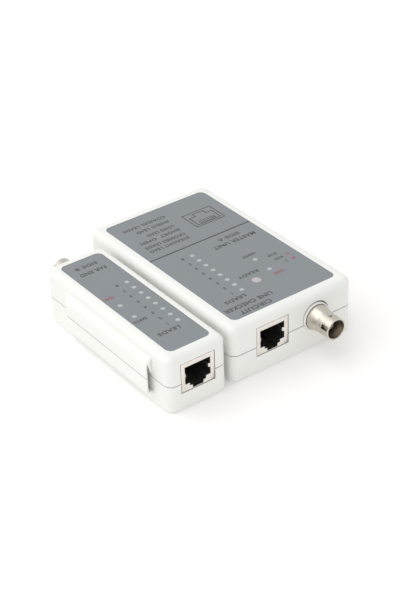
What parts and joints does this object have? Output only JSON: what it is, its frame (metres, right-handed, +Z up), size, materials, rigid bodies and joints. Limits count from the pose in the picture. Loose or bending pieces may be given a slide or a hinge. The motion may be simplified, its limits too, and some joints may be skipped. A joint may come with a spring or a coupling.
{
  "type": "network cable tester",
  "caption": "Handheld network cable tester: main unit with data and coaxial sockets and a lamp column, and a smaller remote unit docked on a side rail.",
  "frame": {"origin": "centre of the main unit's underside", "axes": "+X from the remote unit towards the main unit, +Y away from the data sockets, +Z up out of the labels"},
  "size_m": [0.0972, 0.114, 0.026],
  "materials": {
    "case_plastic": "fine moulded texture, off-white",
    "label_sheet": "printed film, satin grey",
    "lamp_lens": "diffused lens",
    "power_lens": "diffused lens, faint red",
    "board_laminate": "green solder mask",
    "chip_resin": "moulded resin",
    "capacitor_sleeve": "shrunk sleeve",
    "resistor_lacquer": "lacquer",
    "tinned_sheet": "tinned sheet, satin",
    "socket_plastic": "black moulding",
    "contact_gold": "gold flash",
    "nickel_plate": "satin nickel plate",
    "insulator_plastic": "turned insulating plastic",
    "bushing_plastic": "smooth moulding",
    "screw_steel": "zinc plated",
    "knob_plastic": "black moulding",
    "battery_jacket": "printed metal jacket",
    "snap_plastic": "black strip",
    "lead_red": "insulated lead",
    "lead_black": "insulated lead"
  },
  "bodies": {
    "main_unit": {"main_bottom_shell": "case_plastic", "main_top_shell": "case_plastic", "main_label": "label_sheet", "main_pin_lamps": "lamp_lens", "main_status_lamps": "lamp_lens", "main_power_lamp": "power_lens", "main_board": "board_laminate", "main_chips": "chip_resin", "main_capacitor": "capacitor_sleeve", "main_jack_shield": "tinned_sheet", "main_jack_insert": "socket_plastic", "main_jack_contacts": "contact_gold", "main_bnc_body": "nickel_plate", "main_bnc_insulator": "insulator_plastic", "main_bnc_pin": "contact_gold", "main_bnc_bushing": "bushing_plastic", "main_case_screws": "screw_steel", "dock_rail": "case_plastic", "switch_can": "tinned_sheet", "battery": "battery_jacket", "battery_snap": "snap_plastic", "battery_lead_positive": "lead_red", "battery_lead_negative": "lead_black"},
    "remote_unit": {"remote_bottom_shell": "case_plastic", "remote_top_shell": "case_plastic", "remote_label": "label_sheet", "remote_pin_lamps": "lamp_lens", "remote_status_lamps": "lamp_lens", "remote_board": "board_laminate", "remote_resistors": "resistor_lacquer", "remote_jack_shield": "tinned_sheet", "remote_jack_insert": "socket_plastic", "remote_jack_contacts": "contact_gold", "remote_bnc_body": "nickel_plate", "remote_bnc_insulator": "insulator_plastic", "remote_bnc_pin": "contact_gold", "remote_bnc_bushing": "bushing_plastic", "remote_case_screws": "screw_steel"},
    "switch_knob": {"switch_knob": "knob_plastic"},
    "battery_door": {"battery_door": "case_plastic"}
  },
  "joints": [
    {"name": "remote_dock", "type": "slide", "parent": "main_unit", "child": "remote_unit", "axis": [0, -1, 0], "range_m": [0, 0.068]},
    {"name": "switch_slide", "type": "slide", "parent": "main_unit", "child": "switch_knob", "axis": [0, -1, 0], "range_m": [0, 0.007]},
    {"name": "door_slide", "type": "slide", "parent": "main_unit", "child": "battery_door", "axis": [0, 1, 0], "range_m": [0, 0.034]}
  ]
}
